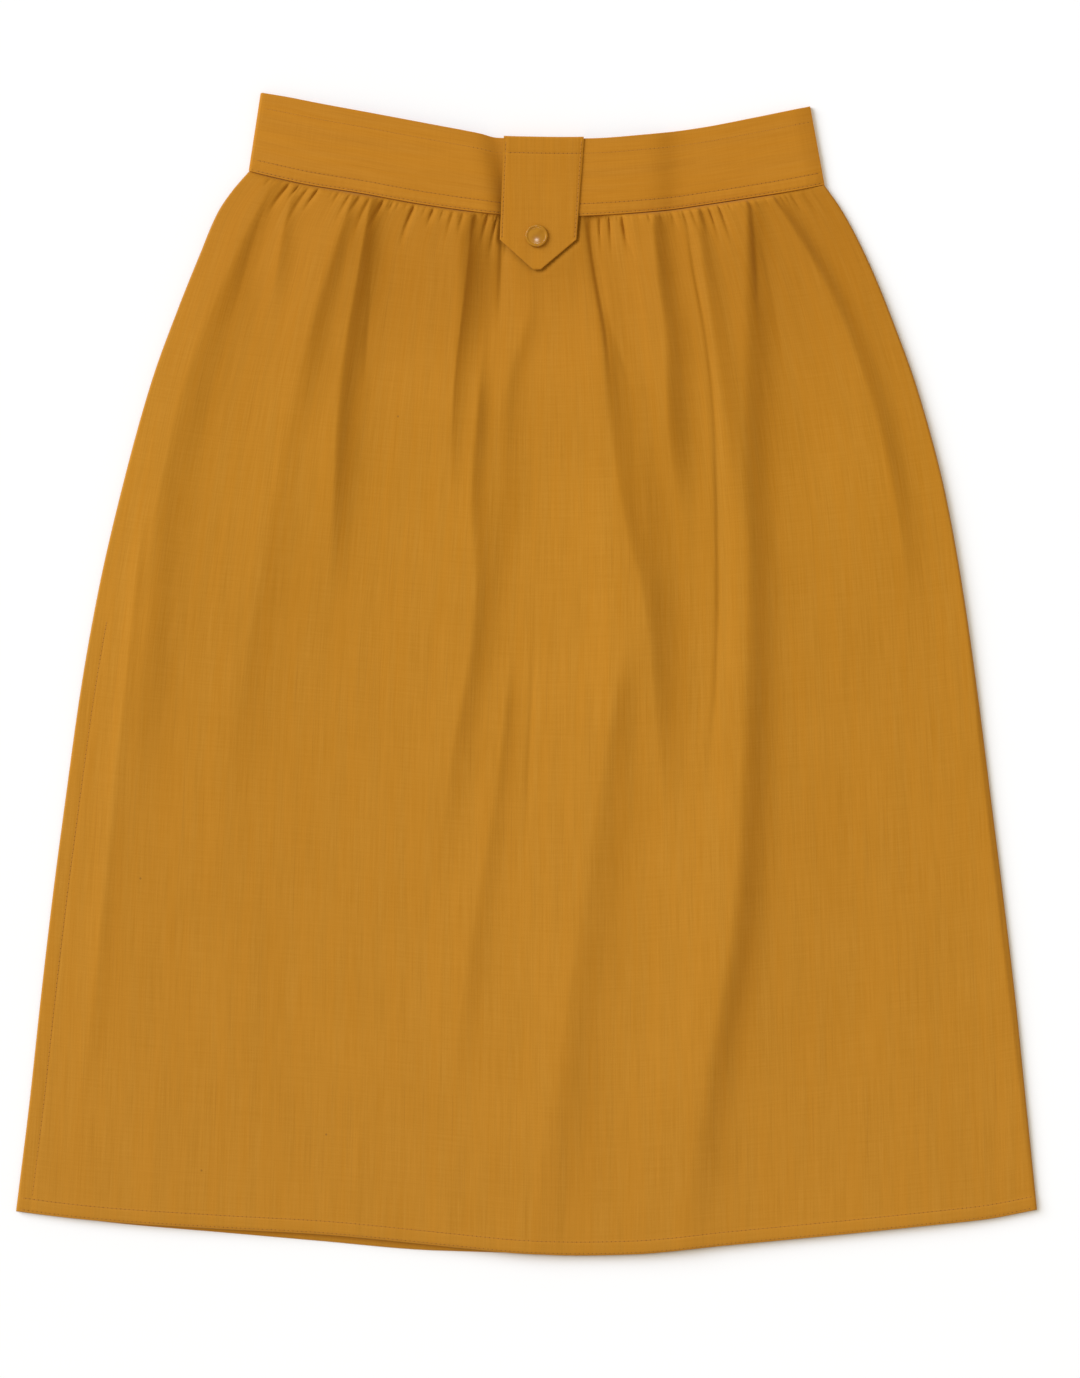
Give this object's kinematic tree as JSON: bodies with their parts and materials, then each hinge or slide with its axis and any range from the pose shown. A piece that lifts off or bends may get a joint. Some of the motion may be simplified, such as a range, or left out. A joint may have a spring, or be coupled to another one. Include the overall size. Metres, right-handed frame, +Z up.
{
  "type": "a-line skirt",
  "caption": "A-line skirt lying flat, gathered into a folded waistband, with a pointed tab held down by a domed button.",
  "frame": {"origin": "on the surface the skirt lies on, under the middle of its box", "axes": "+Y from the hem to the waist, +X to the right as the front is looked at, +Z up out of the surface"},
  "size_m": [0.634, 0.722, 0.0194],
  "materials": {
    "skirt_cloth": "slubbed plain weave, matt with a faint sheen",
    "band_cloth": "the same cloth, pressed and interfaced, with stitched edges",
    "button_plastic": "glossy, dyed to match the cloth"
  },
  "bodies": {
    "root": {"front_panel": "skirt_cloth", "back_panel": "skirt_cloth", "waistband": "band_cloth", "tab": "band_cloth", "button": "button_plastic"}
  },
  "joints": []
}
